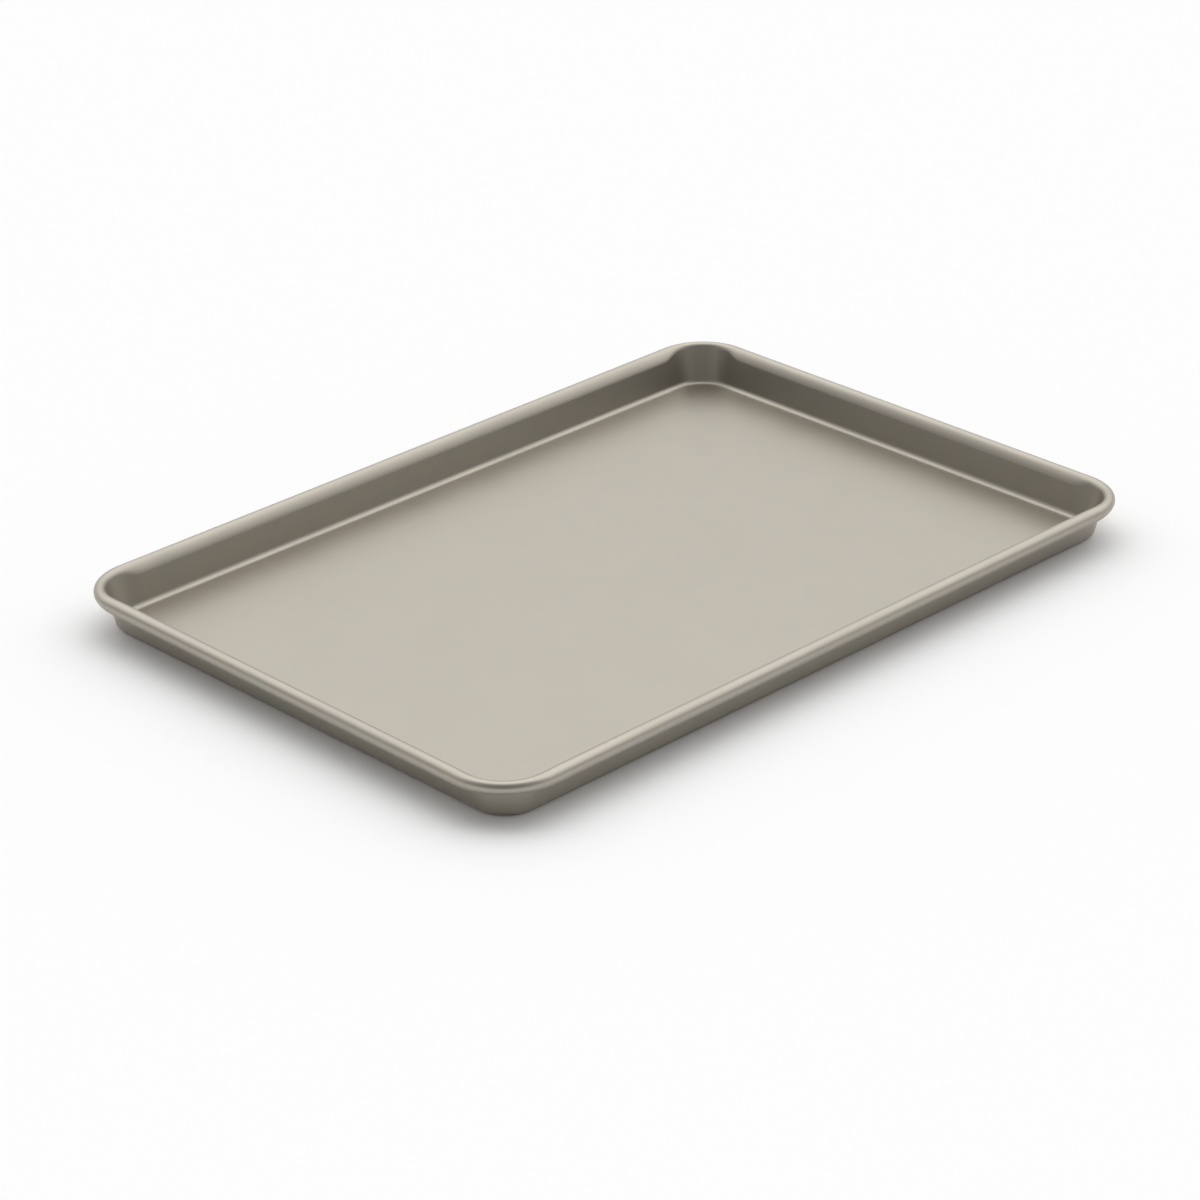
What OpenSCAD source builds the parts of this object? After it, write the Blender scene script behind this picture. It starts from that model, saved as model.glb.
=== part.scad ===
// Jelly roll pan: a shallow rectangular baking sheet pressed from one steel blank.
// Its edge is curled over a stiffening wire all the way round.
//
// Origin: centre of the underside. +X runs along the long side, +Y along the short side,
// +Z up. Millimetres throughout.

/* [Pan] */
// Length over the rolled rim
pan_length = 432; // [300:1:520]
// Width over the rolled rim
pan_width = 304; // [200:1:380]
// Height from the underside to the top of the rim
pan_height = 22; // [19:0.5:40]
// Corner radius of the rim's outer edge, seen from above
corner_radius = 30; // [26:1:60]

/* [Sheet] */
// Thickness of the coated sheet
sheet_thickness = 0.8; // [0.6:0.1:1.2]
// Lean of the walls away from upright, in degrees
wall_flare = 10; // [8:0.5:20]
// Inside radius of the bend between wall and base
bend_radius = 3.2; // [1.5:0.1:4]

/* [Rolled rim] */
// Diameter of the stiffening wire
wire_diameter = 4.4; // [3.6:0.1:5]
// Clearance all round the wire inside the curl
wire_clearance = 0.9; // [0.5:0.1:1]
// Gap between the curl's cut edge and the wall
curl_edge_gap = 0.4; // [0.2:0.05:0.6]
// Gap between the two butted ends of the wire
wire_end_gap = 1.5; // [0.5:0.1:4]

/* [Hidden] */
$fn = 96;

coating = "#b5aa9b";
galvanised = "#a9adb0";

// Curl: outer and inner radius, and its centre above the underside
curl_outer = wire_diameter / 2 + wire_clearance + sheet_thickness;
curl_inner = curl_outer - sheet_thickness;
curl_z = pan_height - curl_outer;

// Sections are drawn outwards from the upright axis of a corner, so that the same
// drawing is pushed along the straight sides and turned round the corners.
curl_x = corner_radius - curl_outer;

// The wall's faces are tangent to the curl. A bend of the same sheet joins it to the base.
bend_outer = bend_radius + sheet_thickness;
bend_z = bend_outer;
wall_rise = curl_z - bend_z;
wall_run = (wall_rise * sin(wall_flare) + curl_outer + bend_radius) / cos(wall_flare);
bend_x = curl_x - wall_run;

// Where the curl's cut edge stops, measured round the curl from the wall
curl_edge_angle = acos((curl_inner - curl_edge_gap) / curl_outer);

// How far a flat stretch of the sheet runs into the rings at its ends
knit = sheet_thickness / 2;

// Straight stretches between the corners
long_run = pan_length - 2 * corner_radius;
short_run = pan_width - 2 * corner_radius;

// A point at a distance from (x, z), square to the wall on its food side
function off_wall(x, z, distance) =
    [x - distance * cos(wall_flare), z + distance * sin(wall_flare)];

// A ring in section, from an outer and an inner radius
module ring(outer, inner) {
    difference() {
        circle(r = outer);
        circle(r = inner);
    }
}

// A three-cornered slice from the centre, reaching well past a given radius
module slice(from_angle, to_angle, radius) {
    reach = 2 * radius;
    middle = (from_angle + to_angle) / 2;
    polygon([
        [0, 0],
        reach * [cos(from_angle), sin(from_angle)],
        reach * [cos(middle), sin(middle)],
        reach * [cos(to_angle), sin(to_angle)]
    ]);
}

// The sheet in section: base, bend, wall and curl. The two flat stretches end in a low point,
// which runs into the ring that they are tangent to and knits the sheet together.
module sheet_section() {
    wall_side = 180 - wall_flare;
    middle = sheet_thickness / 2;
    up_wall = knit * [sin(wall_flare), cos(wall_flare)];

    polygon([
        [0, 0],
        [bend_x, 0],
        [bend_x + knit, middle],
        [bend_x, sheet_thickness],
        [0, sheet_thickness]
    ]);

    translate([bend_x, bend_z])
        intersection() {
            ring(bend_outer, bend_radius);
            slice(-90, -wall_flare, bend_outer);
        }

    polygon([
        off_wall(bend_x, bend_z, -bend_outer),
        off_wall(bend_x, bend_z, -bend_outer + middle) - up_wall,
        off_wall(bend_x, bend_z, -bend_radius),
        off_wall(curl_x, curl_z, curl_outer),
        off_wall(curl_x, curl_z, curl_outer - middle) + up_wall,
        off_wall(curl_x, curl_z, curl_inner)
    ]);

    translate([curl_x, curl_z])
        difference() {
            ring(curl_outer, curl_inner);
            slice(wall_side, wall_side + curl_edge_angle, curl_outer);
        }
}

// The wire in section
module wire_section() {
    translate([curl_x, curl_z]) circle(d = wire_diameter);
}

// Pushes a section along a straight side that faces +X, its corner axis at the origin
module along_side(length) {
    rotate([90, 0, 0])
        linear_extrude(height = length, center = true)
            children();
}

// Places a section on all four sides and round all four corners
module round_the_pan() {
    for (turn = [0, 180]) {
        rotate([0, 0, turn])
            translate([long_run / 2, 0, 0])
                along_side(short_run)
                    children();
        rotate([0, 0, turn + 90])
            translate([short_run / 2, 0, 0])
                along_side(long_run)
                    children();
    }
    for (quarter = [0:3]) {
        flip = quarter % 2;
        corner = [
            (flip == 0 ? long_run : short_run) / 2,
            (flip == 0 ? short_run : long_run) / 2,
            0
        ];
        rotate([0, 0, 90 * quarter])
            translate(corner)
                rotate_extrude(angle = 90)
                    children();
    }
}

// One pressed sheet: flat base, flared walls, and the curl that hides the wire
module pan_body() {
    color(coating) {
        round_the_pan() sheet_section();
        linear_extrude(height = sheet_thickness)
            square([long_run + bend_x, short_run + bend_x], center = true);
    }
}

// One length of wire bent to the rim's outline, its ends butted in the middle of a long side
module rim_wire() {
    color(galvanised)
        difference() {
            round_the_pan() wire_section();
            translate([0, pan_width / 2 - curl_outer, curl_z])
                cube([wire_end_gap, 2 * wire_diameter, 2 * wire_diameter], center = true);
        }
}

pan_body();
rim_wire();
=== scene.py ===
# %% [markdown]
# A jelly roll pan is the shallow tin that a sheet of sponge is baked in. The real one is two
# pieces: a steel blank, pressed into a tray and coated all over, and a wire that its edge is
# rolled round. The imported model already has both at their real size, so it is loaded first as a
# fixed frame. Everything modelled here is measured from it.

from math import atan2, cos, pi, radians, sin

import bmesh
import bpy
from mathutils import Matrix, Vector


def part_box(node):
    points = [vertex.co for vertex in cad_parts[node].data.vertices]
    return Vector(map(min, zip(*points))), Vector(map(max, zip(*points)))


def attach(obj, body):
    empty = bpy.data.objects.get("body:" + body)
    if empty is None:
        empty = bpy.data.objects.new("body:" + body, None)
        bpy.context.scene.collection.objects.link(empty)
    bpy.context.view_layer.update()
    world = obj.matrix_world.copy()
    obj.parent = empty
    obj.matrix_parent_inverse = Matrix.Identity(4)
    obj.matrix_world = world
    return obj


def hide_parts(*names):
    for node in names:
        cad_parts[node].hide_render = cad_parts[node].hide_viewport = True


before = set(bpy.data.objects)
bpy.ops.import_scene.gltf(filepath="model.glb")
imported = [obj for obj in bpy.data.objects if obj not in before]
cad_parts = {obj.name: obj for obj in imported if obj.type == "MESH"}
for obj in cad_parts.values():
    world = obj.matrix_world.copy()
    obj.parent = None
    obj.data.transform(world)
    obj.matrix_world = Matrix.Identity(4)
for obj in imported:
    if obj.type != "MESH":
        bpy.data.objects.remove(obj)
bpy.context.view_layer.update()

# %% [markdown]
# The camera comes next, because it decides which details are worth modelling. The pan is seen
# over one corner, from well above the horizon and through a long lens, so that its sides hardly
# converge. The camera could be aimed with a constraint, but a turn worked out from two angles
# leaves nothing live behind, and the picture's small roll can be added to it.

# %% Camera
MM = 0.001
CAMERA_AZIMUTH = radians(-43.8)
CAMERA_ELEVATION = radians(26.3)
CAMERA_ROLL = radians(-1.14)
CAMERA_DISTANCE = 1884.5 * MM
AIM = Vector((-23.0, -13.3, 0)) * MM
SENSOR_MM = 36
LENS_MM = 117.1


def direction(azimuth, elevation):
    """The way from the pan to something at an azimuth and an elevation."""
    return Vector((sin(azimuth) * cos(elevation), -cos(azimuth) * cos(elevation), sin(elevation)))


scene = bpy.context.scene
towards_camera = direction(CAMERA_AZIMUTH, CAMERA_ELEVATION)
bpy.ops.object.camera_add(location=AIM + towards_camera * CAMERA_DISTANCE)
camera = bpy.context.object
camera.name = "camera"
level = (-towards_camera).to_track_quat("-Z", "Y").to_matrix()
camera.rotation_euler = (level @ Matrix.Rotation(CAMERA_ROLL, 3, "Z")).to_euler()
camera.data.sensor_width = SENSOR_MM
camera.data.lens = LENS_MM
scene.camera = camera
scene.view_settings.view_transform = "Standard"
print("camera at", [round(c, 3) for c in camera.location])

# %% [markdown]
# The tray has one cross-section all the way round. It starts on the floor, bends up into the
# wall and ends in the rolled rim. Sizes that the frame holds are read from it, and the others are
# those of the press tool. The corner axis is the upright line that the section turns about at a
# corner, so places in the section are given as a distance out from that axis and a height.

# %% Sizes of the section
pan_low, pan_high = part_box("pan_body")
wire_low, wire_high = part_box("rim_wire")
SHEET = 0.8 * MM
CORNER_RADIUS = 30 * MM
WALL_FLARE = radians(10)
BEND_RADIUS = 3.2 * MM
AXIS = Vector((pan_high[0] - CORNER_RADIUS, pan_high[1] - CORNER_RADIUS, 0))

curl_height = (wire_low[2] + wire_high[2]) / 2
curl_radius = pan_high[2] - curl_height
curl_out = CORNER_RADIUS - curl_radius
wire_radius = (wire_high[2] - wire_low[2]) / 2
bend_height = BEND_RADIUS + SHEET
wall_rise = curl_height - bend_height
wall_run = (wall_rise * sin(WALL_FLARE) + curl_radius + BEND_RADIUS) / cos(WALL_FLARE)
bend_out = curl_out - wall_run
print("rim radius", round(curl_radius / MM, 2), "mm, bend starts", round(bend_out / MM, 2), "mm out")

# %% [markdown]
# Shaping is done in edit mode, where an operator acts on all that is selected. Each step
# therefore picks its points first, by where they are, and two small helpers do that.

# %% Helpers that start a piece and pick points
CLOSE = 0.01 * MM


def start_piece(name):
    """Names the new primitive, puts its place into its mesh and opens it in edit mode."""
    piece = bpy.context.object
    piece.name = piece.data.name = name
    bpy.ops.object.transform_apply(location=True, rotation=True, scale=True)
    bpy.ops.object.mode_set(mode="EDIT")
    return piece


def pick(piece, test):
    """Selects the points whose place passes the test, and nothing else."""
    shape = bmesh.from_edit_mesh(piece.data)
    for point in shape.verts:
        point.select = test(point.co)
    shape.select_flush_mode()
    bmesh.update_edit_mesh(piece.data)
    return sum(point.select for point in shape.verts)


# %% [markdown]
# The rim is drawn first. On the real pan a roller closes the edge of the blank round the wire and
# stops just short of the wall, so a circle with a slit in it is the right start: the points in
# the slit are deleted, and the circle is turned so that one point lies where the wall meets it.

# %% The rolled rim in section
CURL_POINTS = 48
SLIT = radians(42)

bpy.ops.object.select_all(action="DESELECT")
bpy.ops.mesh.primitive_circle_add(vertices=CURL_POINTS, radius=curl_radius,
                                  location=AXIS + Vector((curl_out, 0, curl_height)),
                                  rotation=(pi / 2, WALL_FLARE, 0))
pan = start_piece("pan")


def turn_from_wall(place):
    """How far round the rim a point of the first section lies, past where the wall meets it."""
    turn = atan2(place.z - curl_height, place.x - AXIS.x - curl_out)
    return (turn - (pi - WALL_FLARE)) % (2 * pi)


pick(pan, lambda place: radians(1) < turn_from_wall(place) < SLIT)
bpy.ops.mesh.delete(type="VERT")
print("points left in the rim:", len(bmesh.from_edit_mesh(pan.data).verts))

# %% [markdown]
# The wall is the straight line down from that meeting point, and the bend is a spin of its lower
# end about the centre of the press tool's rounded edge. A last short step inwards starts the
# floor, so that the flat floor's shading isn't pulled towards the bend's.

# %% The wall, the bend and the edge of the floor in section
BEND_STEPS = 10
FLOOR_EDGE = 2 * MM

wall_top = Vector((curl_out - curl_radius * cos(WALL_FLARE), 0,
                   curl_height + curl_radius * sin(WALL_FLARE)))
wall_foot = Vector((bend_out + BEND_RADIUS * cos(WALL_FLARE), 0,
                    bend_height - BEND_RADIUS * sin(WALL_FLARE)))
pick(pan, lambda place: (place - AXIS - wall_top).length < CLOSE)
bpy.ops.mesh.extrude_vertices_move(TRANSFORM_OT_translate={"value": wall_foot - wall_top})
bpy.ops.mesh.spin(steps=BEND_STEPS, angle=pi / 2 - WALL_FLARE, axis=(0, -1, 0),
                  center=AXIS + Vector((bend_out, 0, bend_height)))
bpy.ops.mesh.extrude_vertices_move(TRANSFORM_OT_translate={"value": (-FLOOR_EDGE, 0, 0)})
section = bmesh.from_edit_mesh(pan.data)
lowest = min(point.co.z for point in section.verts)
print("section:", len(section.verts), "points, lowest at", round(lowest / MM, 2), "mm")

# %% [markdown]
# A corner is the section spun through a quarter turn about the corner axis, and a side is the
# section pushed out along a straight line. Only a quarter of the pan is made this way. The first
# steps of each side are short, because the rim still changes there on its way out of the corner.

# %% One corner and half of the two sides that meet there
CORNER_STEPS = 36
SHORT_STEP = 1.5 * MM
SHORT_STEPS = 8
LONG_STEP = 9 * MM

bpy.ops.mesh.select_all(action="SELECT")
bpy.ops.mesh.spin(steps=CORNER_STEPS, angle=pi / 2, axis=(0, 0, -1), center=AXIS)


def push_side(piece, inward, length, at_end):
    """Extends the end of the corner that passes a test along half a side."""
    pick(piece, at_end)
    rest = length - SHORT_STEP * SHORT_STEPS
    long_steps = round(rest / LONG_STEP)
    for step in [SHORT_STEP] * SHORT_STEPS + [rest / long_steps] * long_steps:
        bpy.ops.mesh.extrude_region_move(TRANSFORM_OT_translate={"value": inward * step})


push_side(pan, Vector((0, -1, 0)), AXIS.y, lambda place: abs(place.y - AXIS.y) < CLOSE)
push_side(pan, Vector((-1, 0, 0)), AXIS.x, lambda place: abs(place.x - AXIS.x) < CLOSE)
print("quarter of the pan:", len(bmesh.from_edit_mesh(pan.data).faces), "faces")

# %% [markdown]
# Between the corners the sheet runs over into the rim more gently than a circle does, and leaves a
# soft shoulder under it on the food side, wider on the long sides. The row of points where the
# wall meets the rim is moved in and down, and proportional editing carries its neighbours along.
# That is done in three parts, each ending further from the corner, so that the shoulder fades out.

# %% Soften the shoulder under the rim
SHOULDER_REACH = 5.5 * MM
SHOULDER_ENDS = (0, 3 * MM, 6 * MM)
LONG_SHOULDER = Vector((0, -1.3, -2.3)) * MM
SHORT_SHOULDER = Vector((-1.0, 0, -2.0)) * MM


def soften_shoulder(piece, out, along, shift):
    """Moves the row where the wall of one side meets the rim, and the sheet near it."""
    part = shift / len(SHOULDER_ENDS)
    for done, end in enumerate(SHOULDER_ENDS):
        row = AXIS + out * wall_top.x + Vector((0, 0, wall_top.z)) + part * done
        found = pick(piece, lambda place: (place - row).dot(along) < -end
                     and abs((place - row).dot(out)) < CLOSE and abs(place.z - row.z) < CLOSE)
        bpy.ops.transform.translate(value=part, use_proportional_edit=True, use_proportional_connected=True,
                                    proportional_edit_falloff="SMOOTH", proportional_size=SHOULDER_REACH)
        print("points moved in the row:", found)


soften_shoulder(pan, Vector((0, 1, 0)), Vector((1, 0, 0)), LONG_SHOULDER)
soften_shoulder(pan, Vector((1, 0, 0)), Vector((0, 1, 0)), SHORT_SHOULDER)

# %% [markdown]
# On the straight sides the rim is rolled loosely, and is wider than its wire. Round a corner the
# edge of the blank gathers and the roller squeezes it tight, so the rim is thinner there. Each
# ring of points across the rim is therefore scaled about its own centre, and moved up and out so
# that the outer edge stays one smooth line. The change starts just before the corner.

# %% Squeeze the rim at the corner
TIGHT_RADIUS = 3.0 * MM
TIGHT_OUT = 1.0 * MM
TIGHT_UP = 0.6 * MM
TIGHT_LEAD = 8 * MM
TIGHT_RUN = 24 * MM
SQUEEZE_REACH = 6 * MM
IN_SECTION = 0.3 * MM


def smooth_step(share):
    """Eases from 0 to 1 with no kink at either end."""
    share = min(max(share, 0), 1)
    return share * share * (3 - 2 * share)


def tightness(into_corner):
    """How far the rim is squeezed, at a distance along it past the start of the corner."""
    return smooth_step((into_corner + TIGHT_LEAD) / TIGHT_RUN)


def rim_places():
    """Walks round one corner: the foot of each section, which way is out, and how tight its rim is."""
    for step in range(SHORT_STEPS, 0, -1):
        yield AXIS - Vector((0, step * SHORT_STEP, 0)), Vector((1, 0, 0)), tightness(-step * SHORT_STEP)
    for step in range(CORNER_STEPS + 1):
        turn = pi / 2 * step / CORNER_STEPS
        nearest_end = min(turn, pi / 2 - turn) * curl_out
        yield AXIS, Vector((cos(turn), sin(turn), 0)), tightness(nearest_end)
    for step in range(1, SHORT_STEPS + 1):
        yield AXIS - Vector((step * SHORT_STEP, 0, 0)), Vector((0, 1, 0)), tightness(-step * SHORT_STEP)


def squeeze(piece, reach, scale_to):
    """Scales and moves the rings of a piece that lie within a reach of the rim's middle."""
    rings = 0
    for foot, out, tight in rim_places():
        middle = foot + out * curl_out + Vector((0, 0, curl_height))
        along = out.cross(Vector((0, 0, 1)))
        if not tight or not pick(piece, lambda place: (place - middle).length < reach + CLOSE
                                 and abs((place - middle).dot(along)) < IN_SECTION):
            continue
        size = 1 + tight * (scale_to - 1)
        bpy.ops.transform.resize(value=(size, size, size), center_override=middle)
        bpy.ops.transform.translate(value=tight * (out * TIGHT_OUT + Vector((0, 0, TIGHT_UP))))
        rings += 1
    return rings


print("rings squeezed:", squeeze(pan, SQUEEZE_REACH, TIGHT_RADIUS / curl_radius))

# %% [markdown]
# The corner of the floor isn't a plain arc. The press leaves a flat facet across it, with a soft
# crease on either side that runs up the wall, like the corner of a rounded octagon. So each
# section's foot is moved out from the corner axis to where such an octagon lies.

# %% Press the facet into the floor's corner
FACET_SHARPNESS = 10
FACET_DISTANCE = 1.03
FACET_OUT = bend_out + BEND_RADIUS * sin(pi / 4)


def octagon_reach(turn):
    """How far out a rounded octagon round a circle of radius 1 reaches, at a turn from a side."""
    sides = [cos(turn), cos(turn - pi / 4) / FACET_DISTANCE, cos(turn - pi / 2)]
    return sum(side ** FACET_SHARPNESS for side in sides) ** (-1 / FACET_SHARPNESS)


for step in range(CORNER_STEPS + 1):
    turn = pi / 2 * step / CORNER_STEPS
    out = Vector((cos(turn), sin(turn), 0))
    along = out.cross(Vector((0, 0, 1)))
    pick(pan, lambda place: place.z < wall_foot.z + CLOSE and (place - AXIS).dot(out) > 0
         and abs((place - AXIS).dot(along)) < CLOSE)
    bpy.ops.transform.translate(value=out * (octagon_reach(turn) - 1) * FACET_OUT)

# %% [markdown]
# The quarter is mirrored twice, which closes the rim and the walls. The floor could be a grid,
# but it is flat, so one face filled between its edges is enough.

# %% Mirror the quarter and fill the floor
def apply_modifier(piece, kind, **settings):
    """Adds a modifier with its settings and applies it at once."""
    bpy.ops.object.modifier_add(type=kind)
    modifier = piece.modifiers[-1]
    for name, value in settings.items():
        setattr(modifier, name, value)
    bpy.ops.object.modifier_apply(modifier=modifier.name)


bpy.ops.object.mode_set(mode="OBJECT")
apply_modifier(pan, "MIRROR", use_axis=(True, True, False), merge_threshold=CLOSE)
bpy.ops.object.mode_set(mode="EDIT")


def on_floor_edge(place):
    """Whether a place is on the inner edge of the ring that starts the floor, not the outer."""
    past = Vector((max(abs(place.x) - AXIS.x, 0), max(abs(place.y) - AXIS.y, 0)))
    return abs(place.z - SHEET) < CLOSE and past.length < bend_out - FLOOR_EDGE / 2


print("points round the floor:", pick(pan, on_floor_edge))
bpy.ops.mesh.edge_face_add()

# %% [markdown]
# So far this is the food side of the sheet alone, with no thickness. The normals are made to
# agree, and turned if the floor faces down. Solidify then adds the steel behind that side, which
# also gives the inside of the roll and its cut edge.

# %% Give the sheet its thickness
bpy.ops.mesh.select_all(action="SELECT")
bpy.ops.mesh.normals_make_consistent(inside=False)
shape = bmesh.from_edit_mesh(pan.data)
floor_face = max(shape.faces, key=lambda face: face.calc_area())
if floor_face.normal.z < 0:
    bpy.ops.mesh.flip_normals()
bpy.ops.object.mode_set(mode="OBJECT")
apply_modifier(pan, "SOLIDIFY", thickness=SHEET, offset=-1, use_even_offset=True)
bpy.ops.object.shade_smooth_by_angle(angle=radians(40))
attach(pan, "root")
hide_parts("pan_body")
print("pan:", len(pan.data.polygons), "faces, box in mm",
      [round(size / MM, 2) for size in pan.dimensions])

# %% [markdown]
# The wire hides in the roll and shows only through the slit from below, but it follows the rim
# where the rim is squeezed, so it is modelled to the same path. It goes once round the pan, and
# its two ends butt in the middle of a long side. A quarter is made and mirrored as the sheet was,
# and the small gap between the ends is cut last.

# %% The stiffening wire
WIRE_POINTS = 20
WIRE_GAP = 1.5 * MM

bpy.ops.object.select_all(action="DESELECT")
bpy.ops.mesh.primitive_circle_add(vertices=WIRE_POINTS, radius=wire_radius,
                                  location=AXIS + Vector((curl_out, 0, curl_height)),
                                  rotation=(pi / 2, 0, 0))
wire = start_piece("wire")
bpy.ops.mesh.select_all(action="SELECT")
bpy.ops.mesh.spin(steps=CORNER_STEPS, angle=pi / 2, axis=(0, 0, -1), center=AXIS)
push_side(wire, Vector((0, -1, 0)), AXIS.y, lambda place: abs(place.y - AXIS.y) < CLOSE)
push_side(wire, Vector((-1, 0, 0)), AXIS.x, lambda place: abs(place.x - AXIS.x) < CLOSE)
print("wire rings moved:", squeeze(wire, wire_radius, 1))
bpy.ops.object.mode_set(mode="OBJECT")
apply_modifier(wire, "MIRROR", use_axis=(True, True, False), merge_threshold=CLOSE)

# %% Cut the gap where the wire's ends butt
bpy.ops.object.mode_set(mode="EDIT")
for side in (-1, 1):
    pick(wire, lambda place: place.y > 0)
    bpy.ops.mesh.bisect(plane_co=(side * WIRE_GAP / 2, 0, 0), plane_no=(side, 0, 0))
pick(wire, lambda place: place.y > 0 and abs(place.x) < WIRE_GAP / 2 - CLOSE)
bpy.ops.mesh.delete(type="VERT")
for side in (-1, 1):
    pick(wire, lambda place: place.y > 0 and abs(place.x - side * WIRE_GAP / 2) < CLOSE)
    bpy.ops.mesh.edge_face_add()
bpy.ops.mesh.select_all(action="SELECT")
bpy.ops.mesh.normals_make_consistent(inside=False)
bpy.ops.object.mode_set(mode="OBJECT")
bpy.ops.object.shade_smooth_by_angle(angle=radians(40))
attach(wire, "root")
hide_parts("rim_wire")
print("wire:", len(wire.data.polygons), "faces")

# %% [markdown]
# Materials are built from nodes. Colours are written as they are read on a screen and turned to
# linear light by one function, and one more adds a node with its settings and its links.

# %% Helpers for materials
def linear(code):
    """A hex colour as linear light."""
    channels = [int(code[i:i + 2], 16) / 255 for i in (1, 3, 5)]
    return [c / 12.92 if c <= 0.04045 else ((c + 0.055) / 1.055) ** 2.4 for c in channels] + [1]


def add_node(tree, kind, settings=None, inputs=None):
    """Adds a node. An input is a plain value or the socket that it is linked to."""
    node = tree.nodes.new(kind)
    for name, value in (settings or {}).items():
        setattr(node, name, value)
    for name, value in (inputs or {}).items():
        if isinstance(value, bpy.types.NodeSocket):
            tree.links.new(value, node.inputs[name])
        else:
            node.inputs[name].default_value = value
    return node


def new_material(name):
    """A material with only its output and its main shader."""
    material = bpy.data.materials.new(name)
    material.use_nodes = True
    return material.node_tree, material.node_tree.nodes["Principled BSDF"], material


# %% [markdown]
# The coating is a sprayed non-stick lacquer with metal flake, baked on over the steel. To the eye
# it is a warm grey metal, satin and not bright: the flake mirrors the room, and the lacquer
# blurs it. Its colour drifts a little from place to place. The flakes don't quite cover: the film
# between them is plain warm grey, so a small part of the surface isn't metallic.

# %% Non-stick coating
COATING_WARM = "#ADA59A"
COATING_COOL = "#A8A59A"
MOTTLE_MM = 14
HAZE_MM = 45
GRAIN_MM = 1.4
GRAIN_DEPTH_MM = 0.01
COATING_ROUGHNESS = (0.37, 0.43)
HAZE_BAND = (0.3, 0.7)
FLAKE_COVER = 0.88

tree, shader, coating = new_material("champagne_nonstick")
place = add_node(tree, "ShaderNodeTexCoord")


def noise(size_mm, detail):
    """A noise pattern whose features are about so many millimetres across."""
    return add_node(tree, "ShaderNodeTexNoise", inputs={
        "Vector": place.outputs["Object"], "Scale": 1 / (size_mm * MM), "Detail": detail})


# The flake settles unevenly, which shows as a faint drift between a warmer and a cooler grey.
colour = add_node(tree, "ShaderNodeMix", {"data_type": "RGBA"}, {
    0: noise(MOTTLE_MM, 2).outputs["Fac"], 6: linear(COATING_WARM), 7: linear(COATING_COOL)})

# The baked lacquer is a little glossier in some places than in others.
roughness = add_node(tree, "ShaderNodeMapRange", inputs={
    "Value": noise(HAZE_MM, 3).outputs["Fac"], "From Min": HAZE_BAND[0], "From Max": HAZE_BAND[1],
    "To Min": COATING_ROUGHNESS[0], "To Max": COATING_ROUGHNESS[1]})

# The sprayed film has the fine pebble of an orange skin. The real one is a few tenths of a
# millimetre across and would vanish, so it is drawn coarser and very shallow.
grain = add_node(tree, "ShaderNodeBump", inputs={
    "Height": noise(GRAIN_MM, 2).outputs["Fac"], "Distance": GRAIN_DEPTH_MM * MM,
    "Strength": 1})

tree.links.new(colour.outputs[2], shader.inputs["Base Color"])
tree.links.new(roughness.outputs["Result"], shader.inputs["Roughness"])
tree.links.new(grain.outputs["Normal"], shader.inputs["Normal"])
shader.inputs["Metallic"].default_value = FLAKE_COVER
pan.data.materials.append(coating)

# %% [markdown]
# The wire is drawn steel with a dull zinc coat, a cooler and rougher grey than the coating. Zinc
# freezes in crystals, so the grey is broken into small angular patches a little apart in tone.

# %% Galvanised wire
ZINC_LIGHT = "#B2B6B9"
ZINC_DARK = "#9DA1A5"
SPANGLE_MM = 1.5
ZINC_ROUGHNESS = (0.4, 0.52)

tree, shader, zinc = new_material("galvanised_steel")
place = add_node(tree, "ShaderNodeTexCoord")
spangle = add_node(tree, "ShaderNodeTexVoronoi", inputs={
    "Vector": place.outputs["Object"], "Scale": 1 / (SPANGLE_MM * MM)})
patch = add_node(tree, "ShaderNodeSeparateColor", inputs={"Color": spangle.outputs["Color"]})
colour = add_node(tree, "ShaderNodeMix", {"data_type": "RGBA"}, {
    0: patch.outputs["Red"], 6: linear(ZINC_DARK), 7: linear(ZINC_LIGHT)})
roughness = add_node(tree, "ShaderNodeMapRange", inputs={
    "Value": patch.outputs["Green"], "To Min": ZINC_ROUGHNESS[0], "To Max": ZINC_ROUGHNESS[1]})
tree.links.new(colour.outputs[2], shader.inputs["Base Color"])
tree.links.new(roughness.outputs["Result"], shader.inputs["Roughness"])
shader.inputs["Metallic"].default_value = 1
wire.data.materials.append(zinc)

# %% [markdown]
# The pan stands on a plain matt white floor, which runs on far past the edge of the picture. The
# floor lies a hair below the pan, because two faces in the same plane would flicker.

# %% Floor
FLOOR_RADIUS = 12
FLOOR_DROP = 0.1 * MM
FLOOR_WHITE = "#FCFCFC"
bpy.ops.object.select_all(action="DESELECT")
bpy.ops.mesh.primitive_circle_add(vertices=96, radius=FLOOR_RADIUS, fill_type="NGON",
                                  location=(0, 0, -FLOOR_DROP))
floor = bpy.context.object
floor.name = "floor"
tree, shader, white = new_material("white_floor")
shader.inputs["Base Color"].default_value = linear(FLOOR_WHITE)
shader.inputs["Roughness"].default_value = 1
shader.inputs["Specular IOR Level"].default_value = 0
floor.data.materials.append(white)

# %% [markdown]
# The light is a plain studio tent: soft and white overhead and behind the pan, and darker towards
# the front, where the camera stands, and towards the horizon. High in the front it has an opening,
# which is darker still. A metal shows what it mirrors, so these slow changes are what gives the
# floor, the walls and the rim their different greys. Lamps could do the same, but their edges
# would show, so the world's strength changes with direction. Where the floor ends, the camera and
# the metal see a white sweep in place of the dark horizon, and it sends no light to the rest.

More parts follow.
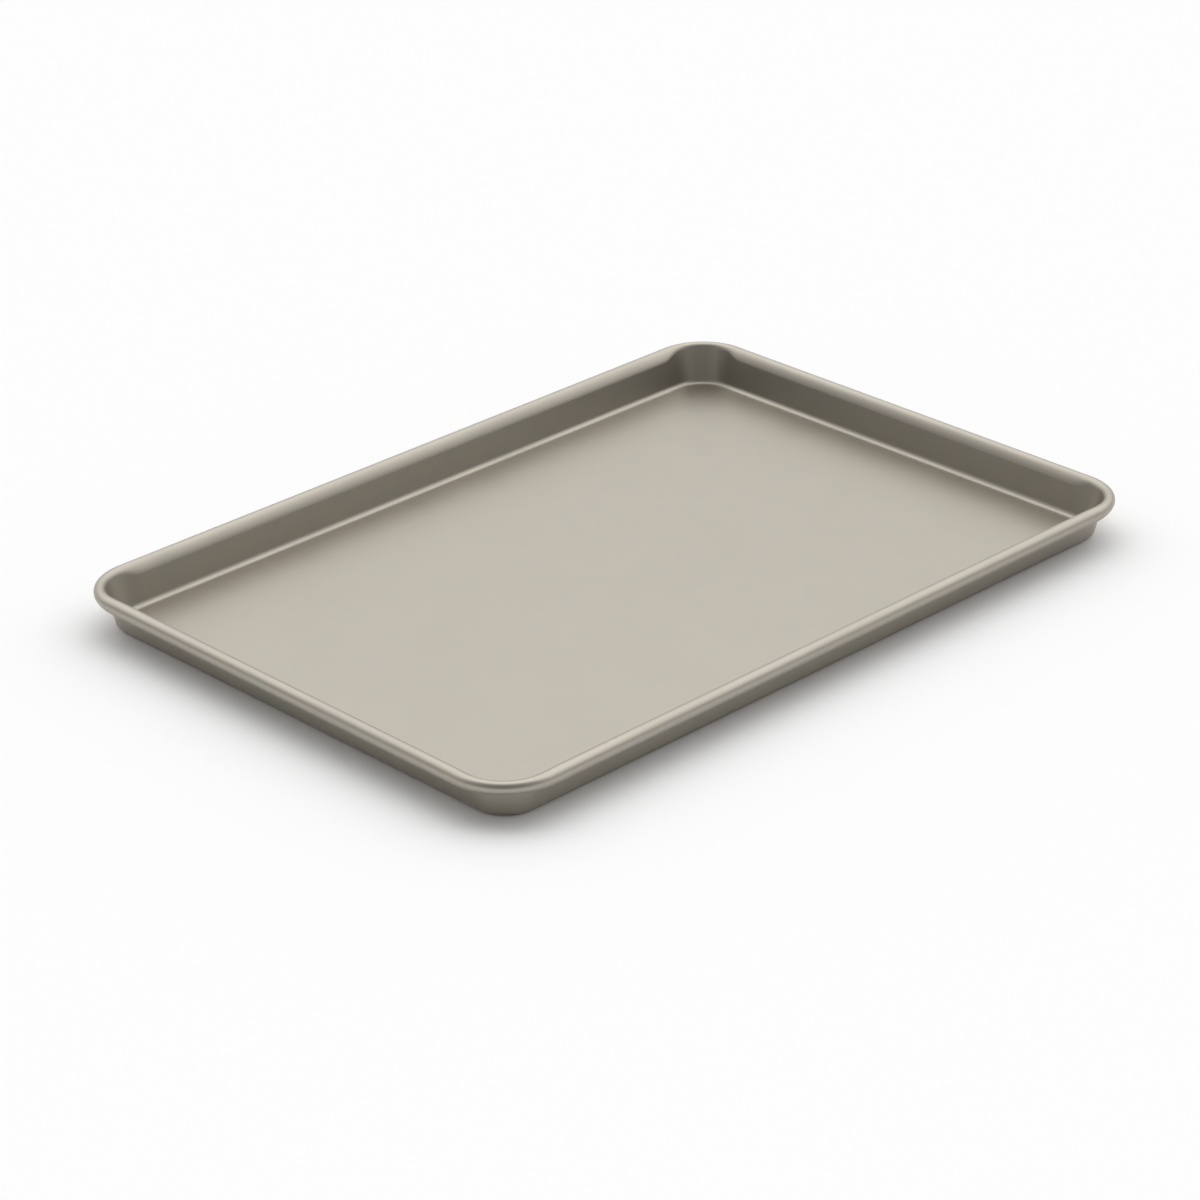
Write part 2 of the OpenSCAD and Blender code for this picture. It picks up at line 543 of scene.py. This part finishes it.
# %% Light
TENT_FRONT = 0.46
TENT_BACK = 1.9
TENT_HORIZON = 0.43
TENT_TOWARDS = direction(radians(127), 0)
TENT_EDGE = (-0.23, 0.19)
TENT_FULL_HEIGHT = 0.79
OPENING_TOWARDS = direction(radians(-44), radians(35))
OPENING_EDGE = (cos(radians(50)), cos(radians(20)))
OPENING_LEVEL = 0.55
SWEEP_EDGE = (0, 0.12)

world = bpy.data.worlds.new("studio_tent")
scene.world = world
world.use_nodes = True
tree = world.node_tree
background = tree.nodes["Background"]
way = add_node(tree, "ShaderNodeTexCoord")
behind = add_node(tree, "ShaderNodeVectorMath", {"operation": "DOT_PRODUCT"}, {
    0: way.outputs["Generated"], 1: TENT_TOWARDS})
height = add_node(tree, "ShaderNodeSeparateXYZ", inputs={"Vector": way.outputs["Generated"]})
tent = add_node(tree, "ShaderNodeMapRange", {"interpolation_type": "SMOOTHSTEP"}, {
    "Value": behind.outputs["Value"], "From Min": TENT_EDGE[0], "From Max": TENT_EDGE[1],
    "To Min": TENT_FRONT, "To Max": TENT_BACK})
strength = add_node(tree, "ShaderNodeMapRange", {"interpolation_type": "SMOOTHSTEP"}, {
    "Value": height.outputs["Z"], "From Min": 0, "From Max": TENT_FULL_HEIGHT,
    "To Min": TENT_HORIZON, "To Max": tent.outputs["Result"]})
ahead = add_node(tree, "ShaderNodeVectorMath", {"operation": "DOT_PRODUCT"}, {
    0: way.outputs["Generated"], 1: OPENING_TOWARDS})
opening = add_node(tree, "ShaderNodeMapRange", {"interpolation_type": "SMOOTHSTEP"}, {
    "Value": ahead.outputs["Value"], "From Min": OPENING_EDGE[0], "From Max": OPENING_EDGE[1],
    "To Min": 1, "To Max": OPENING_LEVEL})
light = add_node(tree, "ShaderNodeMath", {"operation": "MULTIPLY"}, {
    0: strength.outputs["Result"], 1: opening.outputs["Result"]})
sweep = add_node(tree, "ShaderNodeMapRange", {"interpolation_type": "SMOOTHSTEP"}, {
    "Value": height.outputs["Z"], "From Min": SWEEP_EDGE[0], "From Max": SWEEP_EDGE[1],
    "To Min": 1, "To Max": 0})
ray = add_node(tree, "ShaderNodeLightPath")
mirrored = add_node(tree, "ShaderNodeMath", {"operation": "MAXIMUM"}, {
    0: ray.outputs["Is Glossy Ray"], 1: ray.outputs["Is Transmission Ray"]})
seen = add_node(tree, "ShaderNodeMath", {"operation": "MAXIMUM"}, {
    0: ray.outputs["Is Camera Ray"], 1: mirrored.outputs["Value"]})
share = add_node(tree, "ShaderNodeMath", {"operation": "MULTIPLY"}, {
    0: sweep.outputs["Result"], 1: seen.outputs["Value"]})
level = add_node(tree, "ShaderNodeMix", inputs={
    "Factor": share.outputs["Value"], "A": light.outputs["Value"], "B": 1})
tree.links.new(level.outputs["Result"], background.inputs["Strength"])
background.inputs["Color"].default_value = (1, 1, 1, 1)
